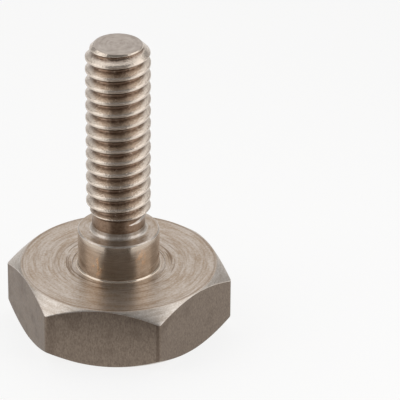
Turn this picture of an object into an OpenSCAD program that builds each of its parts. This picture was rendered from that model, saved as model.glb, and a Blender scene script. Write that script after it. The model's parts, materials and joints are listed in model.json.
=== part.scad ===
// Hex-head shoulder bolt, turned in one piece from hexagonal stainless bar.
// It stands on the outer face of its head: z = 0 is that face, +Z runs up the
// shoulder, the neck and the thread, and the flats of the head face +Y and -Y.

/* [Head] */
// Width of the hexagon across its flats
head_flats = 19.05; // [14:0.05:30]
// Radius of the bar's corners
bar_corner_r = 0.4; // [0.1:0.05:1.5]
// Height of the head
head_h = 6.15; // [4:0.05:12]
// How far the round rim of each turned face lies inside the flats
rim_inset = 0.06; // [0:0.01:1]
// Angle of the head's chamfers to its faces
head_chamfer_angle = 36; // [20:1:45]
// Diameter of the dished centre mark where it breaks the outer face
centre_mark_d = 3.2; // [2.2:0.1:5]
// Diameter of the centre mark's floor
centre_floor_d = 2; // [1:0.1:2.2]
// Depth of the centre mark
centre_mark_depth = 0.15; // [0.05:0.01:0.4]
// Diameter of the pip that stands in the middle of the centre mark
centre_pip_d = 0.9; // [0.2:0.1:1]
// Height of the pip above the centre mark's floor
centre_pip_h = 0.06; // [0.02:0.01:0.15]

/* [Shoulder] */
// Diameter of the shoulder
shoulder_d = 7.87; // [7:0.01:12]
// Length of the shoulder, from the bearing face to its end face
shoulder_l = 3.83; // [2:0.01:40]
// Edge break at the end of the shoulder
shoulder_edge = 0.12; // [0.05:0.01:0.4]
// Width of the relief ring turned into the bearing face round the shoulder
relief_w = 0.55; // [0.2:0.05:1]
// Depth of the relief ring
relief_depth = 0.08; // [0.02:0.01:0.3]

/* [Neck] */
// Diameter of the neck between the shoulder and the thread
neck_d = 5.1; // [4.9:0.05:5.8]
// Length of the neck
neck_l = 1.9; // [1:0.1:5]
// Radius where the neck meets the shoulder
neck_fillet = 0.6; // [0.1:0.05:0.8]

/* [Thread] */
// Major diameter of the thread
thread_d = 6.2; // [6:0.01:6.35]
// Pitch of the thread, one turn of its right-hand helix
thread_pitch = 1.27; // [0.8:0.01:1.5]
// Length from the end face of the shoulder to the end of the thread
shank_l = 19.58; // [8:0.01:60]
// Width of the flat on the thread's crest
crest_flat = 0.24; // [0.1:0.01:0.3]
// Width of the flat at the thread's root
root_flat = 0.2; // [0.1:0.01:0.3]
// Diameter of the flat end face
end_face_d = 4.7; // [3.5:0.1:5.5]
// Angle of the end chamfer to the end face
end_chamfer_angle = 45; // [15:1:60]
// Angle of the chamfer that leads from the neck up to the thread
lead_angle = 45; // [30:1:60]
// Angle of each thread flank to the plane across the axis
flank_angle = 30; // [25:1:35]
// Azimuth at which the thread's groove runs out through the end face, in degrees
thread_start = 19; // [0:1:359]

/* [Hidden] */
$fn = 96;

// Facets round one corner of the hexagonal bar.
corner_steps = 6;
// Facets round one turn of the thread.
turn_steps = 48;
// How far a shape that is cut or trimmed runs past what cuts it.
reach = 1;
// How deep joined shapes run into each other.
overlap = 0.2;

steel = "#a2978b";
shoulder_z = head_h + shoulder_l;
neck_r = neck_d / 2;
neck_z = shoulder_z + neck_l;
end_z = shoulder_z + shank_l;
corner_r = head_flats / sqrt(3);
rim_r = head_flats / 2 - rim_inset;
head_chamfer_h = (corner_r + reach - rim_r) * tan(head_chamfer_angle);
flank_h = (thread_pitch - crest_flat - root_flat) / 2;
thread_r = thread_d / 2;
root_r = thread_r - flank_h / tan(flank_angle);
// The thread's lead chamfer runs on into the neck as far in as this radius.
core_r = min(root_r, neck_r) - overlap;
lead_z = neck_z - (neck_r - core_r) * tan(lead_angle);

// Section of the drawn bar: a hexagon with rounded corners, one of them on +X.
module bar_section() {
    round_centre = (head_flats / 2 - bar_corner_r) / cos(30);
    polygon([
        for (corner = [0:60:300]) for (step = [0:corner_steps])
            let (turn = corner - 30 + 60 * step / corner_steps)
            round_centre * [cos(corner), sin(corner)] + bar_corner_r * [cos(turn), sin(turn)]
    ]);
}

// Hexagonal bar, with both of its turned faces chamfered by one cone each.
module head() {
    intersection() {
        linear_extrude(head_h) bar_section();
        rotate_extrude() polygon([
            [0, 0],
            [rim_r, 0],
            [corner_r + reach, head_chamfer_h],
            [corner_r + reach, head_h - head_chamfer_h],
            [rim_r, head_h],
            [0, head_h]
        ]);
    }
}

// Shallow dish, with a pip in it, that the lathe leaves at the centre of the outer face.
module centre_mark() {
    wall_slope = (centre_mark_d - centre_floor_d) / 2 / centre_mark_depth;
    rotate_extrude() polygon([
        [0, -overlap],
        [centre_mark_d / 2 + overlap * wall_slope, -overlap],
        [centre_floor_d / 2, centre_mark_depth],
        [centre_pip_d / 2, centre_mark_depth],
        [0, centre_mark_depth - centre_pip_h]
    ]);
}

// Turned a little below the bearing face, so that a part seats clear of the shoulder's corner.
module relief_ring() {
    translate([0, 0, head_h - relief_depth])
        cylinder(h = relief_depth + reach, r = shoulder_d / 2 + relief_w);
}

// Plain cylinder that the mating part turns on, with its outer edge broken.
module shoulder() {
    rotate_extrude() polygon([
        [0, head_h - reach],
        [shoulder_d / 2, head_h - reach],
        [shoulder_d / 2, shoulder_z - shoulder_edge],
        [shoulder_d / 2 - shoulder_edge, shoulder_z],
        [0, shoulder_z]
    ]);
}

// Undercut neck, flared by a fillet where it stands on the shoulder.
module neck() {
    rotate_extrude() difference() {
        translate([0, shoulder_z - reach]) square([neck_r + neck_fillet, neck_l + overlap + reach]);
        translate([neck_r, shoulder_z + neck_fillet]) square([neck_fillet + reach, neck_l + reach]);
        translate([neck_r + neck_fillet, shoulder_z + neck_fillet]) circle(r = neck_fillet);
    }
}

// The turned outline that trims the thread: its lead chamfer and its end chamfer.
module thread_envelope() {
    outer_r = thread_r + reach;
    rotate_extrude() polygon([
        [0, lead_z],
        [core_r, lead_z],
        [outer_r, lead_z + (outer_r - core_r) * tan(lead_angle)],
        [outer_r, end_z - (outer_r - end_face_d / 2) * tan(end_chamfer_angle)],
        [end_face_d / 2, end_z],
        [0, end_z]
    ]);
}

// Rod with a right-hand helical thread, longer than the envelope at both ends.
// Each row of points follows the helix along one corner of the thread's profile.
module threaded_rod() {
    profile = [
        [root_r, -root_flat / 2],
        [root_r, root_flat / 2],
        [thread_r, root_flat / 2 + flank_h],
        [thread_r, root_flat / 2 + flank_h + crest_flat]
    ];
    corners = len(profile);
    turns = ceil((end_z - lead_z) / thread_pitch) + 3;
    rows = turns * corners;
    start_z = end_z - (turns - 1) * thread_pitch;
    points = [
        for (row = [0:rows]) for (step = [0:turn_steps - 1])
            let (
                corner = profile[row % corners],
                turn = floor(row / corners) + step / turn_steps,
                angle = thread_start + 360 * step / turn_steps
            )
            [corner[0] * cos(angle), corner[0] * sin(angle), start_z + corner[1] + turn * thread_pitch]
    ];
    bottom = len(points);
    top = bottom + 1;
    function at(row, step) = row * turn_steps + step;
    // Across the seam each row runs on as the row one whole turn further up.
    sides = [
        for (row = [0:rows - 1]) for (step = [0:turn_steps - 2]) each [
            [at(row, step), at(row + 1, step), at(row + 1, step + 1)],
            [at(row, step), at(row + 1, step + 1), at(row, step + 1)]
        ]
    ];
    last = turn_steps - 1;
    seam = [
        for (row = [0:rows - corners - 1]) each [
            [at(row, last), at(row + 1, last), at(row + 1 + corners, 0)],
            [at(row, last), at(row + 1 + corners, 0), at(row + corners, 0)]
        ]
    ];
    axis_points = [[0, 0, start_z], [0, 0, start_z + turns * thread_pitch]];
    foot = [
        for (step = [0:turn_steps - 2]) [bottom, at(0, step), at(0, step + 1)],
        [bottom, at(0, last), at(corners, 0)],
        for (row = [0:corners - 1]) [bottom, at(row + 1, 0), at(row, 0)]
    ];
    crown = [
        for (step = [0:turn_steps - 2]) [top, at(rows, step + 1), at(rows, step)],
        for (row = [rows - corners:rows - 1]) [top, at(row, last), at(row + 1, last)],
        [top, at(rows, 0), at(rows - corners, last)]
    ];
    polyhedron(points = concat(points, axis_points), faces = concat(sides, seam, foot, crown));
}

module shoulder_bolt() {
    color(steel) {
        difference() {
            head();
            centre_mark();
            relief_ring();
        }
        shoulder();
        neck();
        intersection() {
            thread_envelope();
            threaded_rod();
        }
    }
}

shoulder_bolt();
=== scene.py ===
"""Hex-head shoulder bolt of turned stainless steel, standing on its head, on a plain pale floor."""

import json
import math

import bmesh
import bpy
import numpy as np
from mathutils import Matrix, Vector


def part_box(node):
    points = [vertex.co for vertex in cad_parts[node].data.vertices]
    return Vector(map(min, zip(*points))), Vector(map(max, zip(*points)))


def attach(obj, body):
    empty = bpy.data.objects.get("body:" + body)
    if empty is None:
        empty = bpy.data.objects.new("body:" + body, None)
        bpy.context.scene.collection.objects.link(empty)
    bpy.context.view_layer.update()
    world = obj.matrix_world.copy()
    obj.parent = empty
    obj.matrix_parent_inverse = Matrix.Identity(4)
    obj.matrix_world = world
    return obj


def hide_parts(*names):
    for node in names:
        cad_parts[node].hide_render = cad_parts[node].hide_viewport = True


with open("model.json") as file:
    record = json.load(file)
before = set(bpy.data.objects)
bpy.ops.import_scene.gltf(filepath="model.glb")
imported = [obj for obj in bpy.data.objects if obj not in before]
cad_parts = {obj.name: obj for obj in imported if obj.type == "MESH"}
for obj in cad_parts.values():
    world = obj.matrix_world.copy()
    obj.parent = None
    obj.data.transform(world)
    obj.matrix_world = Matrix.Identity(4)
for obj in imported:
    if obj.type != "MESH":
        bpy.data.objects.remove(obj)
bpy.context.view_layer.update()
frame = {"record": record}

MM = 0.001

# Sizes that the frame gives, in metres.
MOUNTS = {mount["name"]: mount for mount in frame["record"]["mounts"]}
_, BOLT_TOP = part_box("shoulder_bolt")
FLATS_R = BOLT_TOP.y
END_Z = BOLT_TOP.z
HEAD_H = MOUNTS["bearing_face"]["pos_m"][2]
SHOULDER_R = MOUNTS["shoulder"]["dims"]["r_mm"] * MM
SHOULDER_Z = MOUNTS["shoulder_end"]["pos_m"][2]
THREAD_R = MOUNTS["thread"]["dims"]["r_mm"] * MM

# Head: the rim where each turned face ends, its chamfer, and the soft corners of the drawn bar.
BAR_SIDES = 6
BAR_CORNER_R = 0.4 * MM
RIM_R = FLATS_R - 0.06 * MM
HEAD_CHAMFER = math.tan(math.radians(36))

# Dished centre mark in the head's outer face, with a pip in the middle.
CENTRE_MARK_R = 1.6 * MM
CENTRE_FLOOR_R = 1.0 * MM
CENTRE_PIP_R = 0.45 * MM
CENTRE_DEPTH = 0.15 * MM
CENTRE_PIP_H = 0.06 * MM

# Shoulder, with the relief ring round its foot, and neck.
RELIEF_R = SHOULDER_R + 0.55 * MM
RELIEF_DEPTH = 0.08 * MM
RELIEF_LEAN = 0.03 * MM
SHOULDER_EDGE = 0.12 * MM
NECK_R = 2.55 * MM
NECK_FILLET = 0.6 * MM
NECK_FOOT_Z = SHOULDER_Z + NECK_FILLET
NECK_Z = SHOULDER_Z + 1.9 * MM

# Thread. It starts at the azimuth where the middle of its groove crosses the plane of the end.
PITCH = 1.27 * MM
ROOT_R = 2.385 * MM
ROOT_FLAT = 0.2 * MM
FLANK = math.tan(math.radians(30))
LEAD_CHAMFER = math.tan(math.radians(45))
THREAD_START = math.radians(19)
# The threading tool lifts out of its groove in the neck, between these two heights.
TOOL_FULL_Z = SHOULDER_Z + 1.62 * MM
TOOL_OUT_Z = SHOULDER_Z + 1.5 * MM
TOOL_LIFT = 0.2 * MM

# End: its flat, and the rim on its chamfer where the threaded grid takes over.
END_CHAMFER = math.tan(math.radians(45))
END_FLAT_R = 2.28 * MM
END_RIM_DROP = 0.07 * MM
END_RIM_R = END_FLAT_R + END_RIM_DROP / END_CHAMFER

# Rounding of the edges, from the centre of the outer face up to the end.
PIP_ROUNDING = 0.1 * MM
MARK_FLOOR_ROUNDING = 0.3 * MM
MARK_EDGE_ROUNDING = 0.2 * MM
RIM_ROUNDING = 0.15 * MM
FLATS_ROUNDING = 0.13 * MM
RELIEF_EDGE_ROUNDING = 0.03 * MM
RELIEF_FOOT_ROUNDING = 0.04 * MM
SHOULDER_FOOT_ROUNDING = 0.18 * MM
SHOULDER_EDGE_ROUNDING = 0.05 * MM
LEAD_ROUNDING = 0.03 * MM
ROOT_ROUNDING = 0.1 * MM
CREST_ROUNDING = 0.06 * MM
END_ROUNDING = 0.1 * MM
ARC_STEPS = 4
# A rounding takes at most this share of the straight run on each side of it.
ROUNDED_SHARE = 0.45

# Mesh. Its columns crowd towards the hexagon's corners by this share.
COLUMNS = 180
CROWDING = 0.8
ROWS_PER_TURN = 24
THREAD_TURNS = math.ceil((END_Z - NECK_FOOT_Z) / PITCH) + 2
# Points closer than this are one.
WELD = 0.001 * MM
# A face of the groove looks up, and takes a painted highlight, when its normal rises by more than this.
PAINTED_HIGHLIGHT_RISE = 0.3

# Kinds of node.
VECTOR = "ShaderNodeVectorMath"
MATH = "ShaderNodeMath"
NOISE = "ShaderNodeTexNoise"
RANGE = "ShaderNodeMapRange"
MIX = "ShaderNodeMixRGB"


def linear(hex_colour):
    """An sRGB hex colour as linear red, green, blue and alpha."""
    parts = [int(hex_colour[i : i + 2], 16) / 255 for i in (1, 3, 5)]
    return *(c / 12.92 if c <= 0.04045 else ((c + 0.055) / 1.055) ** 2.4 for c in parts), 1.0


def add(tree, kind, inputs=(), **settings):
    """Adds a node, gives it its settings, and links or sets its inputs, in order or by name."""
    made = tree.nodes.new(kind)
    for name, value in settings.items():
        setattr(made, name, value)
    for key, value in inputs.items() if isinstance(inputs, dict) else enumerate(inputs):
        if isinstance(value, bpy.types.Node):
            value = value.outputs[0]
        if isinstance(value, bpy.types.NodeSocket):
            tree.links.new(value, made.inputs[key])
        else:
            made.inputs[key].default_value = value
    return made


def column_azimuths():
    """Azimuth of each column, crowded towards the corners of the hexagon."""
    even = np.arange(COLUMNS) * 2 * math.pi / COLUMNS
    return even - CROWDING * np.sin(BAR_SIDES * even) / BAR_SIDES


def bar_radius(azimuth):
    """Distance from the axis to the surface of the hexagonal bar, whose corners are a little rounded."""
    half_side = math.pi / BAR_SIDES
    from_corner = abs((azimuth + half_side) % (2 * half_side) - half_side)
    round_centre = (FLATS_R - BAR_CORNER_R) / math.cos(half_side)
    round_end = math.atan2(
        BAR_CORNER_R * math.sin(half_side), round_centre + BAR_CORNER_R * math.cos(half_side)
    )
    if from_corner < round_end:
        across = round_centre * math.sin(from_corner)
        return round_centre * math.cos(from_corner) + math.sqrt(BAR_CORNER_R**2 - across**2)
    return FLATS_R / math.cos(half_side - from_corner)


def corner_arc(before, here, after, rounding):
    """Points of the arc that rounds one corner of a section."""
    to_before, to_after = before - here, after - here
    run_in, run_out = np.linalg.norm(to_before), np.linalg.norm(to_after)
    to_before, to_after = to_before / run_in, to_after / run_out
    half_angle = math.acos(np.clip(to_before @ to_after, -1, 1)) / 2
    cut = min(rounding / math.tan(half_angle), ROUNDED_SHARE * run_in, ROUNDED_SHARE * run_out)
    middle = to_before + to_after
    centre = here + middle / np.linalg.norm(middle) * cut / math.cos(half_angle)
    radius = cut * math.tan(half_angle)
    points = []
    for part in np.linspace(0, 1, ARC_STEPS + 1):
        spoke = here + to_before * cut * (1 - part) + to_after * cut * part - centre
        points.append(centre + spoke / np.linalg.norm(spoke) * radius)
    return points


def rounded_section(corners):
    """A half section with rounded corners. Each corner is (distance from the axis, height, rounding,
    finish of the run that follows it, parts in that run). Returns the points of the section and the
    finish of each stretch between them."""
    places = [np.array(corner[:2]) for corner in corners]
    arcs = [[place] for place in places]
    for i in range(1, len(corners) - 1):
        rounding = corners[i][2]
        if rounding:
            arcs[i] = corner_arc(places[i - 1], places[i], places[i + 1], rounding)
    points, finishes = list(arcs[0]), []
    for i in range(1, len(corners)):
        finish, parts = corners[i - 1][3:]
        start, end = arcs[i - 1][-1], arcs[i][0]
        points += [start + (end - start) * part / parts for part in range(1, parts)]
        points += arcs[i]
        finishes += [finish] * parts + [corners[i][3]] * (len(arcs[i]) - 1)
    return points, finishes


def add_turned_surface(bolt, section_at, slots):
    """Adds to the bolt's mesh the surface whose half section at each azimuth section_at gives. Slots names
    the finishes in the order of the mesh's materials."""
    azimuths = column_azimuths()
    sections = [section_at(azimuth) for azimuth in azimuths]
    first_points, finishes = sections[0]
    rings = []
    for k, (first_r, first_z) in enumerate(first_points):
        if first_r == 0:
            rings.append([bolt.verts.new((0, 0, first_z))] * COLUMNS)
            continue
        ring = []
        for azimuth, (points, _) in zip(azimuths, sections):
            r, z = points[k]
            ring.append(bolt.verts.new((r * math.cos(azimuth), r * math.sin(azimuth), z)))
        rings.append(ring)
    for finish, low, high in zip(finishes, rings, rings[1:]):
        for i in range(COLUMNS):
            j = (i + 1) % COLUMNS
            loop = [low[i], low[j], high[j], high[i]]
            # At the axis a ring is one point, and its faces are triangles.
            face = bolt.faces.new(list(dict.fromkeys(loop)))
            face.material_index = slots.index(finish)


def head_and_shoulder_section(azimuth):
    """Half section of the bolt from the centre of its outer face up to the straight part of its neck."""
    bar_r = bar_radius(azimuth)
    chamfer_h = (bar_r - RIM_R) * HEAD_CHAMFER
    relief_z = HEAD_H - RELIEF_DEPTH
    return rounded_section([
        (0, CENTRE_DEPTH - CENTRE_PIP_H, 0, "tumbled_stainless_steel", 2),
        (CENTRE_PIP_R, CENTRE_DEPTH, PIP_ROUNDING, "tumbled_stainless_steel", 2),
        (CENTRE_FLOOR_R, CENTRE_DEPTH, MARK_FLOOR_ROUNDING, "tumbled_stainless_steel", 2),
        (CENTRE_MARK_R, 0, MARK_EDGE_ROUNDING, "tumbled_stainless_steel", 6),
        (RIM_R, 0, RIM_ROUNDING, "chamfered_stainless_steel", 2),
        (bar_r, chamfer_h, FLATS_ROUNDING, "cold_drawn_stainless_steel", 6),
        (bar_r, HEAD_H - chamfer_h, FLATS_ROUNDING, "chamfered_stainless_steel", 2),
        (RIM_R, HEAD_H, RIM_ROUNDING, "faced_stainless_steel", 10),
        (RELIEF_R, HEAD_H, RELIEF_EDGE_ROUNDING, "chamfered_stainless_steel", 1),
        (RELIEF_R - RELIEF_LEAN, relief_z, RELIEF_FOOT_ROUNDING, "faced_stainless_steel", 2),
        (SHOULDER_R, relief_z, SHOULDER_FOOT_ROUNDING, "fine_turned_stainless_steel", 6),
        (SHOULDER_R, SHOULDER_Z - SHOULDER_EDGE, SHOULDER_EDGE_ROUNDING, "chamfered_stainless_steel", 1),
        (SHOULDER_R - SHOULDER_EDGE, SHOULDER_Z, SHOULDER_EDGE_ROUNDING, "faced_stainless_steel", 2),
        (NECK_R, SHOULDER_Z, NECK_FILLET, "chamfered_stainless_steel", 1),
        (NECK_R, NECK_FOOT_Z, 0, "undercut_stainless_steel", 1),
    ])


def end_section(_azimuth):
    """Half section of the bolt's end, from the rim of its chamfer to the axis, the same all round."""
    return rounded_section([
        (END_RIM_R, END_Z - END_RIM_DROP, 0, "thread_cut_stainless_steel", 1),
        (END_FLAT_R, END_Z, END_ROUNDING, "end_faced_stainless_steel", 8),
        (0, END_Z, 0, "end_faced_stainless_steel", 1),
    ])


# Named inputs of the helical thread tree.
THREAD_SIZES = {
    "Start Azimuth": THREAD_START,
    "Pitch": PITCH,
    "Major Radius": THREAD_R,
    "Root Radius": ROOT_R,
    "Root Flat": ROOT_FLAT,
    "Flank Slope": FLANK,
    "Root Rounding": ROOT_ROUNDING,
    "Crest Rounding": CREST_ROUNDING,
    "Lead Rounding": LEAD_ROUNDING,
    "Bottom Height": NECK_FOOT_Z,
    "Neck Radius": NECK_R,
    "Neck Height": NECK_Z,
    "Lead Slope": LEAD_CHAMFER,
    "End Height": END_Z,
    "End Slope": END_CHAMFER,
    "End Rim Radius": END_RIM_R,
    "End Rim Drop": END_RIM_DROP,
    "Tool Full Height": TOOL_FULL_Z,
    "Tool Out Height": TOOL_OUT_Z,
    "Tool Lift": TOOL_LIFT,
}


def helical_thread_tree(finish):
    """Node tree that bends a flat grid into the threaded shank. Its rows follow the right-hand helix, and
    the turned outline, the groove and the tool's run-out set each point's distance from the axis."""
    tree = bpy.data.node_groups.new("helical_thread", "GeometryNodeTree")
    tree.interface.new_socket("Thread", in_out="OUTPUT", socket_type="NodeSocketGeometry")
    for name in THREAD_SIZES:
        tree.interface.new_socket(name, in_out="INPUT", socket_type="NodeSocketFloat")
    size = add(tree, "NodeGroupInput").outputs

    # The grid is one metre square about the origin, so its places run from -0.5 to 0.5.
    grid = add(tree, "GeometryNodeMeshGrid", {
        "Size X": 1.0,
        "Size Y": 1.0,
        "Vertices X": COLUMNS + 1,
        "Vertices Y": THREAD_TURNS * ROWS_PER_TURN + 1,
    })
    place = add(tree, "ShaderNodeSeparateXYZ", [add(tree, "GeometryNodeInputPosition")])
    across = add(tree, MATH, [place.outputs["X"], 0.5], operation="ADD")
    along = add(tree, MATH, [place.outputs["Y"], 0.5], operation="ADD")

    # Azimuth, crowded towards the hexagon's corners as the head's columns are.
    even = add(tree, MATH, [across, 2 * math.pi], operation="MULTIPLY")
    corners = add(tree, MATH, [even, BAR_SIDES], operation="MULTIPLY")
    wave = add(tree, MATH, [corners], operation="SINE")
    azimuth = add(tree, MATH, [wave, -CROWDING / BAR_SIDES, even], operation="MULTIPLY_ADD")

    # Height: each row climbs one pitch a turn, and stops at the ends of the shank.
    from_start = add(tree, MATH, [azimuth, size["Start Azimuth"]], operation="SUBTRACT")
    start_turn = add(tree, MATH, [from_start, 2 * math.pi], operation="DIVIDE")
    row_turn = add(tree, MATH, [along, THREAD_TURNS, 1 - THREAD_TURNS], operation="MULTIPLY_ADD")
    turn = add(tree, MATH, [row_turn, start_turn], operation="ADD")
    climb = add(tree, MATH, [turn, size["Pitch"], size["End Height"]], operation="MULTIPLY_ADD")
    lowest = add(tree, MATH, [climb, size["Bottom Height"]], operation="MAXIMUM")
    top_height = add(tree, MATH, [size["End Height"], size["End Rim Drop"]], operation="SUBTRACT")
    height = add(tree, MATH, [lowest, top_height], operation="MINIMUM")

    # Groove: how far along the axis this point lies from the middle of the nearest turn.
    below_end = add(tree, MATH, [height, size["End Height"]], operation="SUBTRACT")
    pitches = add(tree, MATH, [below_end, size["Pitch"]], operation="DIVIDE")
    phase = add(tree, MATH, [pitches, start_turn], operation="SUBTRACT")
    nearest = add(tree, MATH, [phase], operation="ROUND")
    off_phase = add(tree, MATH, [phase, nearest], operation="SUBTRACT")
    off_turn = add(tree, MATH, [off_phase], operation="ABSOLUTE")
    off_middle = add(tree, MATH, [off_turn, size["Pitch"]], operation="MULTIPLY")
    half_root = add(tree, MATH, [size["Root Flat"], 0.5], operation="MULTIPLY")
    flank_run = add(tree, MATH, [off_middle, half_root], operation="SUBTRACT")
    flank_rise = add(tree, MATH, [flank_run, size["Flank Slope"]], operation="DIVIDE")
    flank_r = add(tree, MATH, [flank_rise, size["Root Radius"]], operation="ADD")
    root = [flank_r, size["Root Radius"], size["Root Rounding"]]
    above_root = add(tree, MATH, root, operation="SMOOTH_MAX")

    # The tool lifts out of the groove over part of a turn in the neck.
    groove_turn = add(tree, MATH, [nearest, start_turn], operation="ADD")
    groove_z = add(tree, MATH, [groove_turn, size["Pitch"], size["End Height"]], operation="MULTIPLY_ADD")
    lift = add(tree, RANGE, {
        "Value": groove_z,
        "From Min": size["Tool Full Height"],
        "From Max": size["Tool Out Height"],
        "To Min": 0.0,
        "To Max": size["Tool Lift"],
    })
    groove_r = add(tree, MATH, [above_root, lift], operation="ADD")

    # Turned outline: the neck, the lead chamfer, the major diameter and the end chamfer.
    over_neck = add(tree, MATH, [height, size["Neck Height"]], operation="SUBTRACT")
    lead_rise = add(tree, MATH, [over_neck, size["Lead Slope"]], operation="DIVIDE")
    lead_r = add(tree, MATH, [lead_rise, size["Neck Radius"]], operation="ADD")
    neck_r = add(tree, MATH, [lead_r, size["Neck Radius"], size["Lead Rounding"]], operation="SMOOTH_MAX")
    under_top = add(tree, MATH, [top_height, height], operation="SUBTRACT")
    end_rise = add(tree, MATH, [under_top, size["End Slope"]], operation="DIVIDE")
    end_r = add(tree, MATH, [end_rise, size["End Rim Radius"]], operation="ADD")
    crest = [groove_r, size["Major Radius"], size["Crest Rounding"]]
    crest_r = add(tree, MATH, crest, operation="SMOOTH_MIN")
    turned_r = add(tree, MATH, [neck_r, crest_r, size["Lead Rounding"]], operation="SMOOTH_MIN")
    radius = add(tree, MATH, [turned_r, end_r], operation="MINIMUM")

    cosine = add(tree, MATH, [azimuth], operation="COSINE")
    sine = add(tree, MATH, [azimuth], operation="SINE")
    x = add(tree, MATH, [radius, cosine], operation="MULTIPLY")
    y = add(tree, MATH, [radius, sine], operation="MULTIPLY")
    on_bolt = add(tree, "ShaderNodeCombineXYZ", [x, y, height])
    moved = add(tree, "GeometryNodeSetPosition", {"Geometry": grid.outputs["Mesh"], "Position": on_bolt})
    welded = add(tree, "GeometryNodeMergeByDistance", {"Geometry": moved, "Distance": WELD})
    smooth = add(tree, "GeometryNodeSetShadeSmooth", {"Geometry": welded})
    real = add(tree, "GeometryNodeRealizeInstances", {"Geometry": smooth})
    dressed = add(tree, "GeometryNodeSetMaterial", {"Geometry": real, "Material": finish})
    add(tree, "NodeGroupOutput", [dressed])
    return tree


def plain_mesh(carrier):
    """The carrier's evaluated shape as a plain mesh; the carrier itself is removed."""
    evaluated = carrier.evaluated_get(bpy.context.evaluated_depsgraph_get())
    shape = bpy.data.meshes.new_from_object(evaluated)
    bpy.data.objects.remove(carrier)
    return shape


def threaded_shank(finish):
    """Mesh of the neck and the thread, from the helical thread tree."""
    carrier = bpy.data.objects.new("threaded_shank", bpy.data.meshes.new("threaded_shank"))
    bpy.context.scene.collection.objects.link(carrier)
    tree = helical_thread_tree(finish)
    modifier = carrier.modifiers.new("thread", "NODES")
    modifier.node_group = tree
    sockets = {item.name: item.identifier for item in tree.interface.items_tree if item.in_out == "INPUT"}
    for name, value in THREAD_SIZES.items():
        modifier[sockets[name]] = value
    return plain_mesh(carrier)


def build_bolt(finishes):
    """The whole bolt as one closed piece, with its finishes by name."""
    slots = list(finishes)
    bolt = bmesh.new()
    shank = threaded_shank(finishes["thread_cut_stainless_steel"])
    bolt.from_mesh(shank)
    bpy.data.meshes.remove(shank)
    for face in bolt.faces:
        in_neck = face.calc_center_median().z < NECK_Z
        finish = "undercut_stainless_steel" if in_neck else "thread_cut_stainless_steel"
        # The lower side of the groove, whose faces look up where it runs out in the neck, takes the
        # brighter finish as a painted highlight.
        if in_neck and face.normal.z > PAINTED_HIGHLIGHT_RISE:
            finish = "chamfered_stainless_steel"
        face.material_index = slots.index(finish)
    add_turned_surface(bolt, head_and_shoulder_section, slots)
    add_turned_surface(bolt, end_section, slots)
    bmesh.ops.remove_doubles(bolt, verts=bolt.verts, dist=2 * WELD)
    bmesh.ops.recalc_face_normals(bolt, faces=bolt.faces)
    for face in bolt.faces:
        face.smooth = True
    shape = bpy.data.meshes.new("shoulder_bolt_turned")
    bolt.to_mesh(shape)
    bolt.free()
    for material in finishes.values():
        shape.materials.append(material)
    carrier = bpy.data.objects.new("bolt_carrier", shape)
    bpy.context.scene.collection.objects.link(carrier)
    weighted = carrier.modifiers.new("weighted", "WEIGHTED_NORMAL")
    weighted.mode = "FACE_AREA"
    weighted.weight = 100
    piece = bpy.data.objects.new("shoulder_bolt_turned", plain_mesh(carrier))
    bpy.context.scene.collection.objects.link(piece)
    return piece


def new_finish(name):
    """A material for one finish of the steel, its tree, and the place on the bolt in millimetres. So the
    scale of a pattern is 1 over its size in millimetres."""
    material = bpy.data.materials.new(name)
    material.use_nodes = True
    tree = material.node_tree
    tree.nodes.clear()
    coordinates = add(tree, "ShaderNodeTexCoord").outputs["Object"]
    place = add(tree, VECTOR, {0: coordinates, "Scale": 1 / MM}, operation="SCALE")
    return material, tree, place


def steel(material, tree, colour, roughness, height, depth_mm, stretch=None, anisotropic=0.0):
    """Finishes a material as bare stainless steel. Height, up to depth_mm, is the relief that the tool
    left. Gloss is drawn out along stretch, which runs across the marks of the tool or the die."""
    look = {
        "Base Color": colour,
        "Metallic": 1.0,
        "Roughness": roughness,
        "Normal": add(tree, "ShaderNodeBump", {"Height": height, "Distance": depth_mm * MM}),
        "Anisotropic": anisotropic,
    }
    if stretch is not None:
        look["Tangent"] = stretch
    shader = add(tree, "ShaderNodeBsdfPrincipled", look)
    add(tree, "ShaderNodeOutputMaterial", {"Surface": shader})
    return material


def from_axis(tree, place):
    """How far a place lies from the bolt's axis, and the way out to it."""
    outward = add(tree, VECTOR, [place, (1, 1, 0)], operation="MULTIPLY")
    return add(tree, VECTOR, [outward], operation="LENGTH").outputs["Value"], outward


def turning_marks(tree, place, spacing_mm, breaks, rise=0.0):
    """Lines that a turning tool leaves round the axis, about spacing_mm apart. Breaks is about how often
    they fade in and out round the bolt. Rise is 1 where the surface runs up along the axis. Real lines are
    0.1 mm apart or less, and are drawn coarser, so that they show."""
    radius, outward = from_axis(tree, place)
    height = add(tree, "ShaderNodeSeparateXYZ", [place]).outputs["Z"]
    across = add(tree, MATH, [height, rise, radius], operation="MULTIPLY_ADD")
    count = add(tree, MATH, [across, spacing_mm], operation="DIVIDE")
    line = add(tree, "ShaderNodeCombineXYZ", {"Z": count})
    around = add(tree, VECTOR, [outward], operation="NORMALIZE")
    # On a circle of this radius the noise rises and falls about that often.
    swing = (breaks / 4, breaks / 4, 0)
    path = add(tree, VECTOR, [around, swing, line], operation="MULTIPLY_ADD")
    return add(tree, NOISE, {"Vector": path, "Scale": 1.0, "Detail": 2.0, "Roughness": 0.6})


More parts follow.
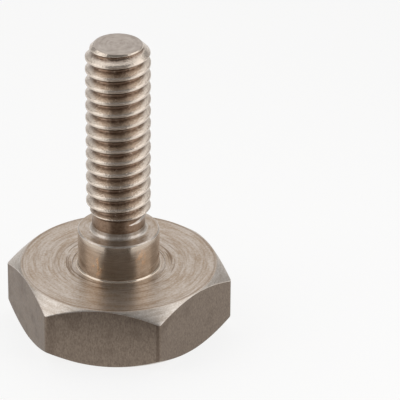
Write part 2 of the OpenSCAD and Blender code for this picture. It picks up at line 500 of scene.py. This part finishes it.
def faced_stainless_steel():
    """Stainless steel faced on a lathe: fine rings that part the grey of clean cuts from tan, smeared ones,
    with darker scores near the shoulder and one inside the rim."""
    material, tree, place = new_finish("faced_stainless_steel")
    radius, outward = from_axis(tree, place)
    rings = turning_marks(tree, place, 0.2, breaks=14)
    bands = turning_marks(tree, place, 0.8, breaks=8)
    specks = add(tree, NOISE, {"Vector": place, "Scale": 1 / 0.2, "Detail": 2.0, "Roughness": 0.6})
    cuts = add(tree, MATH, [rings, bands], operation="ADD")
    marks = add(tree, MATH, [cuts, specks], operation="ADD")
    tone = add(tree, RANGE, {"Value": marks, "From Min": 1.2, "From Max": 1.8})
    clean = add(tree, MIX, [tone, linear("#a08d7a"), linear("#beb3a9")])

    # Scores crowd near the shoulder, and stay out of the relief ring.
    relief_mm = RELIEF_R / MM
    lines = turning_marks(tree, place, 0.24, breaks=5)
    scores = add(tree, RANGE, {"Value": lines, "From Min": 0.52, "From Max": 0.62})
    near_shoulder = add(tree, RANGE, {
        "Value": radius,
        "From Min": relief_mm + 0.6,
        "From Max": relief_mm + 2.2,
        "To Min": 0.85,
        "To Max": 0.15,
    })
    out_of_relief = add(tree, RANGE, {"Value": radius, "From Min": relief_mm, "From Max": relief_mm + 0.1})
    scored = add(tree, MATH, [scores, near_shoulder], operation="MULTIPLY")
    scored = add(tree, MATH, [scored, out_of_relief], operation="MULTIPLY")

    # One more score runs just inside the rim.
    rim_score_mm = RIM_R / MM - 0.17
    off_rim = add(tree, MATH, [radius, rim_score_mm], operation="SUBTRACT")
    off_rim = add(tree, MATH, [off_rim], operation="ABSOLUTE")
    rim_score = add(tree, RANGE, {
        "Value": off_rim, "From Min": 0.04, "From Max": 0.14, "To Min": 0.45, "To Max": 0.0,
    })
    scored = add(tree, MATH, [scored, rim_score], operation="MAXIMUM")
    return steel(
        material, tree,
        colour=add(tree, MIX, [scored, clean, linear("#78634f")]),
        roughness=add(tree, RANGE, {
            "Value": rings, "From Min": 0.3, "From Max": 0.7, "To Min": 0.46, "To Max": 0.33,
        }),
        height=marks, depth_mm=0.011,
        stretch=outward, anisotropic=0.5,
    )


def chamfered_stainless_steel():
    """Stainless steel cut by the side of the tool, on the chamfers and other turned edges: brighter than
    the faces, with close lines and a bright grit."""
    material, tree, place = new_finish("chamfered_stainless_steel")
    _, outward = from_axis(tree, place)
    lines = turning_marks(tree, place, 0.2, breaks=20)
    grit = add(tree, NOISE, {"Vector": place, "Scale": 1 / 0.15, "Detail": 2.0})
    marks = add(tree, MATH, [lines, grit], operation="ADD")
    tone = add(tree, RANGE, {"Value": marks, "From Min": 0.75, "From Max": 1.25})
    return steel(
        material, tree,
        colour=add(tree, MIX, [tone, linear("#b0a498"), linear("#cec6be")]),
        roughness=0.34,
        height=marks, depth_mm=0.006,
        stretch=outward, anisotropic=0.3,
    )


# Darker lines along corners of the bar: place on X and half-width, in millimetres, and strength.
DARK_CORNER_LINES = [(5.3, 0.2, 0.5), (-5.0, 0.6, 0.25)]


def cold_drawn_stainless_steel():
    """Cold-drawn stainless bar, left as it came: a dull skin with a fine grain along the bar and rusty
    stains, darker than the turned steel, partly its own tone and partly a painted dark reflection of the
    floor, with darker lines beside two of its corners."""
    material, tree, place = new_finish("cold_drawn_stainless_steel")
    # The pits in the skin are some 0.05 mm wide, and are drawn at 0.11 mm to show.
    pit_w, pit_l = 0.11, 0.26
    along_bar = add(tree, VECTOR, [place, (1 / pit_w, 1 / pit_w, 1 / pit_l)], operation="MULTIPLY")
    grain = add(tree, NOISE, {"Vector": along_bar, "Scale": 1.0, "Detail": 3.0, "Roughness": 0.65})
    blotches = add(tree, NOISE, {"Vector": place, "Scale": 1 / 0.5, "Detail": 3.0, "Roughness": 0.6})
    blotch_share = 0.35
    skin = add(tree, MATH, [blotches, blotch_share, grain], operation="MULTIPLY_ADD")
    tone = add(tree, RANGE, {"Value": skin, "From Min": 0.44, "From Max": 0.91})
    # The skin's tones are partly its own dull grey and partly a painted dark reflection of the floor that
    # the flats face.
    clean = add(tree, MIX, [tone, linear("#6d6056"), linear("#928476")])
    stains = add(tree, NOISE, {"Vector": place, "Scale": 1 / 2.0, "Detail": 2.0})
    stains_and_dark_lines = add(tree, RANGE, {
        "Value": stains, "From Min": 0.55, "From Max": 0.75, "To Min": 0.0, "To Max": 0.4,
    })
    along_flat = add(tree, "ShaderNodeSeparateXYZ", [place]).outputs["X"]
    # The flats are darkened along a line beside each of two corners of the bar.
    for corner, half_w, strength in DARK_CORNER_LINES:
        off_line = add(tree, MATH, [along_flat, corner], operation="SUBTRACT")
        off_line = add(tree, MATH, [off_line], operation="ABSOLUTE")
        dark_line = add(tree, RANGE, {
            "Value": off_line,
            "From Min": half_w / 2,
            "From Max": half_w,
            "To Min": strength,
            "To Max": 0.0,
        })
        stains_and_dark_lines = add(tree, MATH, [stains_and_dark_lines, dark_line], operation="MAXIMUM")
    return steel(
        material, tree,
        colour=add(tree, MIX, [stains_and_dark_lines, clean, linear("#5a4b41")]),
        roughness=add(tree, RANGE, {
            "Value": blotches, "From Min": 0.3, "From Max": 0.7, "To Min": 0.38, "To Max": 0.5,
        }),
        height=skin, depth_mm=0.008,
        stretch=add(tree, VECTOR, [(0, 0, 1), place], operation="CROSS_PRODUCT"), anisotropic=0.2,
    )


# Patches where the shoulder has galled: middle, in millimetres, and strength. They are taller than wide.
GALLS = [((-1.47, -3.65, 7.6), 0.8), ((2.63, -2.92, 8.3), 0.45)]
GALL_SLIMNESS = (1.4, 1.4, 0.8)


def fine_turned_stainless_steel():
    """Finely turned running surface of the shoulder: bright, with hair lines round it and two patches of
    coppery galling."""
    material, tree, place = new_finish("fine_turned_stainless_steel")
    lines = turning_marks(tree, place, 0.15, breaks=12, rise=1.0)
    tone = add(tree, RANGE, {"Value": lines, "From Min": 0.3, "From Max": 0.7})
    clean = add(tree, MIX, [tone, linear("#c0b0a0"), linear("#d5c8b9")])
    patches = []
    for middle, strength in GALLS:
        off_middle = add(tree, VECTOR, [place, middle], operation="SUBTRACT")
        shaped = add(tree, VECTOR, [off_middle, GALL_SLIMNESS], operation="MULTIPLY")
        away = add(tree, VECTOR, [shaped], operation="LENGTH").outputs["Value"]
        patches.append(add(tree, RANGE, {
            "Value": away, "From Min": 0.3, "From Max": 1.1, "To Min": strength, "To Max": 0.0,
        }))
    patch = add(tree, MATH, patches, operation="MAXIMUM")
    tear_w, tear_l = 0.3, 0.7
    drawn_out = add(tree, VECTOR, [place, (1 / tear_w, 1 / tear_w, 1 / tear_l)], operation="MULTIPLY")
    tears = add(tree, NOISE, {"Vector": drawn_out, "Scale": 1.0, "Detail": 3.0, "Roughness": 0.6})
    torn = add(tree, RANGE, {"Value": tears, "From Min": 0.49, "From Max": 0.54})
    galls = add(tree, MATH, [torn, patch], operation="MULTIPLY")
    # Galls stand up to some three times as high as the hair lines.
    gall_rise = 3.0
    relief = add(tree, MATH, [galls, gall_rise, lines], operation="MULTIPLY_ADD")
    return steel(
        material, tree,
        colour=add(tree, MIX, [galls, clean, linear("#f6cba0")]),
        roughness=add(tree, RANGE, {"Value": galls, "To Min": 0.2, "To Max": 0.34}),
        height=relief, depth_mm=0.003,
        stretch=place, anisotropic=0.4,
    )


def undercut_stainless_steel():
    """Neck undercut with a form tool: duller, and coloured darker and browner than the
    shoulder."""
    material, tree, place = new_finish("undercut_stainless_steel")
    lines = turning_marks(tree, place, 0.2, breaks=16, rise=1.0)
    grit = add(tree, NOISE, {"Vector": place, "Scale": 1 / 0.2, "Detail": 2.0})
    marks = add(tree, MATH, [lines, grit], operation="ADD")
    tone = add(tree, RANGE, {"Value": marks, "From Min": 0.75, "From Max": 1.25})
    return steel(
        material, tree,
        colour=add(tree, MIX, [tone, linear("#7d6755"), linear("#9a8370")]),
        roughness=0.34,
        height=marks, depth_mm=0.004,
        stretch=place, anisotropic=0.3,
    )


def thread_cut_stainless_steel():
    """Thread cut with a single-point tool: bright, a little torn crests and flanks, coloured darker and
    browner towards the roots as painted shade in the grooves."""
    material, tree, place = new_finish("thread_cut_stainless_steel")
    radius, _ = from_axis(tree, place)
    height = add(tree, "ShaderNodeSeparateXYZ", [place]).outputs["Z"]
    tears = add(tree, NOISE, {"Vector": place, "Scale": 1 / 0.4, "Detail": 3.0, "Roughness": 0.55})
    specks = add(tree, NOISE, {"Vector": place, "Scale": 1 / 0.15, "Detail": 2.0})
    torn = add(tree, MATH, [tears, specks], operation="ADD")
    # The tears make the edge of the painted root shade ragged.
    ragged_mm = 0.35
    ragged = add(tree, MATH, [torn, ragged_mm, radius], operation="MULTIPLY_ADD")
    root_mm = ROOT_R / MM
    # Painted shade: the colour turns darker and browner towards the root of the groove.
    bright = add(tree, RANGE, {"Value": ragged, "From Min": root_mm + 0.35, "From Max": root_mm + 0.75})
    # The end chamfer was cut last, and is kept out of the painted root shade.
    under_end = add(tree, MATH, [height, -1.0, END_Z / MM], operation="MULTIPLY_ADD")
    under_chamfer = add(tree, MATH, [radius, -END_CHAMFER, under_end], operation="MULTIPLY_ADD")
    chamfer_at = -END_CHAMFER * END_FLAT_R / MM
    clean = add(tree, RANGE, {
        "Value": under_chamfer,
        "From Min": chamfer_at + 0.02,
        "From Max": chamfer_at + 0.08,
        "To Min": 1.0,
        "To Max": 0.0,
    })
    tone = add(tree, MATH, [bright, clean], operation="MAXIMUM")
    return steel(
        material, tree,
        colour=add(tree, MIX, [tone, linear("#7c6656"), linear("#d0c3b6")]),
        roughness=add(tree, RANGE, {
            "Value": tears, "From Min": 0.3, "From Max": 0.7, "To Min": 0.16, "To Max": 0.28,
        }),
        height=torn, depth_mm=0.028,
        stretch=place, anisotropic=0.2,
    )


def end_faced_stainless_steel():
    """Flat end of the shank, left grey and blotched by the facing tool, with faint rings."""
    material, tree, place = new_finish("end_faced_stainless_steel")
    _, outward = from_axis(tree, place)
    rings = turning_marks(tree, place, 0.3, breaks=4)
    blotches = add(tree, NOISE, {"Vector": place, "Scale": 1 / 0.6, "Detail": 4.0, "Roughness": 0.65})
    marks = add(tree, MATH, [rings, blotches], operation="ADD")
    tone = add(tree, RANGE, {"Value": marks, "From Min": 0.75, "From Max": 1.25})
    return steel(
        material, tree,
        colour=add(tree, MIX, [tone, linear("#998d84"), linear("#b6aca3")]),
        roughness=0.36,
        height=marks, depth_mm=0.006,
        stretch=outward, anisotropic=0.3,
    )


# Bearings of the scratches on the outer face, in degrees.
SCRATCH_BEARINGS = (15, 75, 135)


def tumbled_stainless_steel():
    """Outer face of the head, tumbled with other bolts: satin, blotched, with short scratches every way and
    what is left of the parting tool's rings round the centre."""
    material, tree, place = new_finish("tumbled_stainless_steel")
    marks = add(tree, NOISE, {"Vector": place, "Scale": 1 / 1.1, "Detail": 4.0, "Roughness": 0.6})
    # Scratches some 0.03 mm wide are drawn at 0.1 mm to show.
    scratch_w, scratch_l = 0.1, 2.5
    for bearing in SCRATCH_BEARINGS:
        turned = add(tree, "ShaderNodeVectorRotate", {"Vector": place, "Angle": math.radians(bearing)})
        drawn_out = add(tree, VECTOR, [turned, (1 / scratch_w, 1 / scratch_l, 1)], operation="MULTIPLY")
        lines = add(tree, NOISE, {"Vector": drawn_out, "Scale": 1.0, "Detail": 1.0})
        scratches = add(tree, RANGE, {
            "Value": lines, "From Min": 0.62, "From Max": 0.75, "To Min": 0.0, "To Max": 0.25,
        })
        marks = add(tree, MATH, [marks, scratches], operation="ADD")
    radius, _ = from_axis(tree, place)
    rings = turning_marks(tree, place, 0.3, breaks=3)
    fading = add(tree, RANGE, {
        "Value": radius, "From Min": 2.0, "From Max": 5.0, "To Min": 0.35, "To Max": 0.05,
    })
    marks = add(tree, MATH, [rings, fading, marks], operation="MULTIPLY_ADD")
    tone = add(tree, RANGE, {"Value": marks, "From Min": 0.4, "From Max": 0.85})
    return steel(
        material, tree,
        colour=add(tree, MIX, [tone, linear("#a19286"), linear("#bbafa5")]),
        roughness=0.4,
        height=marks, depth_mm=0.01,
    )


bolt = build_bolt({
    "tumbled_stainless_steel": tumbled_stainless_steel(),
    "cold_drawn_stainless_steel": cold_drawn_stainless_steel(),
    "chamfered_stainless_steel": chamfered_stainless_steel(),
    "faced_stainless_steel": faced_stainless_steel(),
    "fine_turned_stainless_steel": fine_turned_stainless_steel(),
    "undercut_stainless_steel": undercut_stainless_steel(),
    "thread_cut_stainless_steel": thread_cut_stainless_steel(),
    "end_faced_stainless_steel": end_faced_stainless_steel(),
})
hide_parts("shoulder_bolt")
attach(bolt, "root")


# Camera, at the photograph's viewing angle. Its place is given before it is turned to its heading, and its
# focal length is in the photograph's pixels.
PHOTO_PX = 400
SENSOR_MM = 36
FOCAL_PX = 3484.7
CAMERA_PLACE = Vector((7.796, -292.312, 173.032)) * MM
HEADING = math.radians(8.026)
LOOK_DOWN = math.radians(28.695)
ROLL = math.radians(0.485)

camera = bpy.data.objects.new("camera", bpy.data.cameras.new("camera"))
bpy.context.scene.collection.objects.link(camera)
camera.data.sensor_width = SENSOR_MM
camera.data.lens = FOCAL_PX / PHOTO_PX * SENSOR_MM
turn = Matrix.Rotation(HEADING, 4, "Z")
tilt = Matrix.Rotation(math.pi / 2 - LOOK_DOWN, 4, "X")
camera.matrix_world = turn @ Matrix.Translation(CAMERA_PLACE) @ tilt @ Matrix.Rotation(ROLL, 4, "Z")
bpy.context.scene.camera = camera

# Stage, in metres. The floor lies a hair below the bolt, so that the two don't share a plane.
WHITE = linear("#ffffff")
FLOOR_Z = -0.02 * MM
FLOOR_REACH = 3
FLOOR_WHITE_SHARE = 0.82
# Edges of the dark cards: distance in front of the bolt, left end and right end.
CARD_Z = 0.2 * MM
CARD_NEAR_EDGE = (0.0172, -0.0115, 0.0105)
CARD_JOIN = (0.0235, -0.0169, 0.0159)
CARD_FAR_EDGE = (0.18, -0.15, 0.15)
# Outline of a side panel: distance behind the bolt, and height.
PANEL_X = 0.06
PANEL_OUTLINE = [(-0.06, 0), (-0.002, 0), (0.04, 0.115), (-0.03, 0.115)]
PANEL_STRENGTH = 1.5
# How high the soft light behind the bolt stands.
BACK_LIGHT_RISE = math.radians(35)


def stage_sheet(name, corners):
    """Sheet of the stage, from its corners in metres, set square to the camera's heading."""
    shape = bpy.data.meshes.new(name)
    shape.from_pydata(corners, [], [(0, 1, 2, 3)])
    shape.transform(turn)
    material = bpy.data.materials.new(name)
    material.use_nodes = True
    material.node_tree.nodes.clear()
    shape.materials.append(material)
    sheet = bpy.data.objects.new(name, shape)
    bpy.context.scene.collection.objects.link(sheet)
    return sheet, material.node_tree


def seen_or_mirrored(tree):
    """1 for what the camera sees, straight or in the steel, and 0 for what only lights."""
    path = add(tree, "ShaderNodeLightPath").outputs
    seen = add(tree, MATH, [path["Is Camera Ray"], path["Is Glossy Ray"]], operation="MAXIMUM")
    return add(tree, MATH, [seen, path["Is Transmission Ray"]], operation="MAXIMUM")


def pale_floor():
    """Plain pale floor. The camera and the steel see it as mostly white, with the bolt's shadow on it."""
    square = [(-1, -1), (1, -1), (1, 1), (-1, 1)]
    _, tree = stage_sheet("pale_floor", [(x * FLOOR_REACH, y * FLOOR_REACH, FLOOR_Z) for x, y in square])
    white_share = add(tree, MATH, [seen_or_mirrored(tree), FLOOR_WHITE_SHARE], operation="MULTIPLY")
    matt = add(tree, "ShaderNodeBsdfDiffuse", {"Color": linear("#f7f6f4")})
    white = add(tree, "ShaderNodeEmission", {"Color": WHITE, "Strength": 1.0})
    surface = add(tree, "ShaderNodeMixShader", [white_share, matt, white])
    add(tree, "ShaderNodeOutputMaterial", {"Surface": surface})


def dark_card(name, tone, far, near):
    """Dark card on the floor in front of the bolt, outside the picture. Only the steel shows it."""
    edges = [(-far[0], far[1], far[2]), (-near[0], near[2], near[1])]
    card, tree = stage_sheet(name, [(x, y, CARD_Z) for y, *ends in edges for x in ends])
    matt = add(tree, "ShaderNodeBsdfDiffuse", {"Color": linear(tone)})
    add(tree, "ShaderNodeOutputMaterial", {"Surface": matt})
    card.visible_camera = False
    card.visible_diffuse = False
    card.visible_shadow = False


def side_panel(name, x):
    """Upright soft panel beside the bolt, out of the picture, like one wall of a light tent."""
    panel, tree = stage_sheet(name, [(x, y, z) for y, z in PANEL_OUTLINE])
    glow = add(tree, "ShaderNodeEmission", {"Color": WHITE, "Strength": PANEL_STRENGTH})
    add(tree, "ShaderNodeOutputMaterial", {"Surface": glow})
    panel.visible_camera = False
    panel.visible_shadow = False


def studio_world():
    """Soft light from above and behind, dim at the camera's side, where the steel's dark bands come from.
    Near the floor it is seen as white."""
    world = bpy.data.worlds.new("studio")
    bpy.context.scene.world = world
    world.use_nodes = True
    tree = world.node_tree
    tree.nodes.clear()
    direction = add(tree, "ShaderNodeTexCoord").outputs["Generated"]
    up = add(tree, "ShaderNodeSeparateXYZ", [direction]).outputs["Z"]
    behind = turn @ Vector((0, 1, 0))
    backward = add(tree, VECTOR, [direction, behind], operation="DOT_PRODUCT").outputs["Value"]
    back_light = turn @ Vector((0, math.cos(BACK_LIGHT_RISE), math.sin(BACK_LIGHT_RISE)))
    facing = add(tree, VECTOR, [direction, back_light], operation="DOT_PRODUCT").outputs["Value"]
    rising = add(tree, RANGE, {
        "Value": up, "From Min": 0.35, "From Max": 0.85, "To Min": 0.15, "To Max": 1.0,
    })
    overhead = add(tree, RANGE, {
        "Value": up, "From Min": 0.9, "From Max": 1.0, "To Min": 1.0, "To Max": 0.65,
    })
    off_camera = add(tree, RANGE, {"Value": backward, "From Min": -0.2, "From Max": 0.1})
    backdrop = add(tree, RANGE, {
        "Value": facing, "From Min": 0.75, "From Max": 0.97, "To Min": 0.2, "To Max": 0.68,
    })
    level = add(tree, MATH, [rising, overhead], operation="MULTIPLY")
    level = add(tree, MATH, [level, off_camera, backdrop], operation="MULTIPLY_ADD")
    # The floor runs up into a white cove all round.
    cove = add(tree, RANGE, {"Value": up, "From Min": 0.1, "From Max": 0.16, "To Min": 1.0, "To Max": 0.0})
    white = add(tree, MATH, [cove, seen_or_mirrored(tree)], operation="MULTIPLY")
    strength = add(tree, MATH, [white, level], operation="MAXIMUM")
    light = add(tree, "ShaderNodeBackground", {"Color": WHITE, "Strength": strength})
    add(tree, "ShaderNodeOutputWorld", {"Surface": light})


pale_floor()
dark_card("near_card", "#5f5a56", CARD_JOIN, CARD_NEAR_EDGE)
dark_card("far_card", "#99928c", CARD_FAR_EDGE, CARD_JOIN)
side_panel("left_panel", -PANEL_X)
side_panel("right_panel", PANEL_X)
studio_world()

bpy.context.scene.view_settings.view_transform = "Standard"
